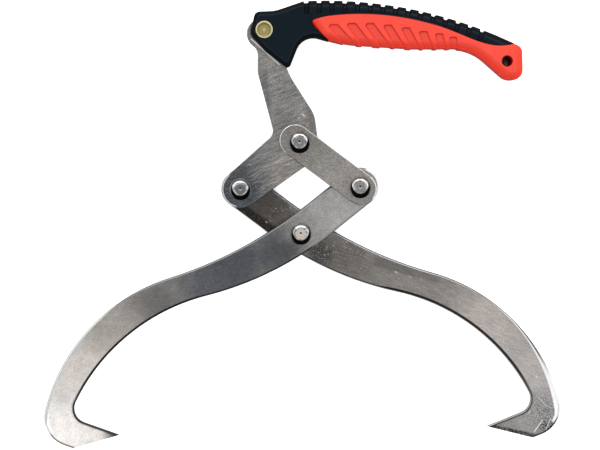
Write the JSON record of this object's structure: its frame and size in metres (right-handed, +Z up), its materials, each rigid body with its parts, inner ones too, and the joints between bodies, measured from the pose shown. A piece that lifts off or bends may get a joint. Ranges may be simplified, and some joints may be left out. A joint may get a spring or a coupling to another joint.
{
  "type": "log tongs",
  "caption": "Hand-held log lifting tongs: hooked flat steel jaws in a scissor linkage, hung from a bent hanger plate with a folding two-colour moulded handle.",
  "frame": {"origin": "on the floor under the centre rivet, where the two jaws cross, at the middle of the rivet's flat back head", "axes": "+X to the right jaw, +Y to the handle, +Z up from the floor that the tongs lie on, to the side that the picture shows"},
  "size_m": [0.4164, 0.3539, 0.0265],
  "materials": {
    "jaw_steel": "satin rolled flat bar with a light zinc coat, scuffed",
    "plate_steel": "ground flat steel with fine cross streaks and scratches",
    "rivet_steel": "bright spun rivet heads",
    "washer_steel": "zinc-coated pressed washer",
    "spacer_plastic": "thin dark nylon sheet",
    "black_plastic": "satin moulded black plastic",
    "red_rubber": "soft satin red overmould",
    "rivet_brass": "pale polished brass"
  },
  "bodies": {
    "hanger": {"hanger_plate": "plate_steel", "top_rivet": "rivet_steel", "top_washer": "washer_steel", "top_spacer": "spacer_plastic", "left_rivet": "rivet_steel", "left_washer": "washer_steel", "left_spacer": "spacer_plastic"},
    "right_jaw": {"right_jaw": "jaw_steel", "centre_rivet": "rivet_steel", "centre_washer": "washer_steel", "centre_spacer": "spacer_plastic"},
    "left_jaw": {"left_jaw": "jaw_steel", "right_rivet": "rivet_steel", "right_washer": "washer_steel", "right_spacer": "spacer_plastic"},
    "link": {"side_link": "plate_steel"},
    "handle": {"handle_core": "black_plastic", "grip_cover": "red_rubber", "handle_rivet": "rivet_brass", "front_thrust_washer": "spacer_plastic", "back_thrust_washer": "spacer_plastic"}
  },
  "joints": [
    {"name": "jaw_spread", "type": "hinge", "parent": "hanger", "child": "right_jaw", "pos_m": [-0.0476, 0.03653, 0.0093], "axis": [0, 0, 1], "range_deg": [-73, 36]},
    {"name": "scissor", "type": "hinge", "parent": "right_jaw", "child": "left_jaw", "pos_m": [0, 0, 0.0093], "axis": [0, 0, 1], "range_deg": [-36, 73]},
    {"name": "link_swing", "type": "hinge", "parent": "hanger", "child": "link", "pos_m": [0, 0.07305, 0.0159], "axis": [0, 0, 1], "range_deg": [-73, 36]},
    {"name": "handle_fold", "type": "hinge", "parent": "hanger", "child": "handle", "pos_m": [-0.0264, 0.16245, 0.0126], "axis": [0, 0, 1], "range_deg": [0, 113]}
  ],
  "couplings": [
    {"joint": "scissor", "follows": "jaw_spread", "ratio": -1},
    {"joint": "link_swing", "follows": "jaw_spread", "ratio": 1}
  ]
}
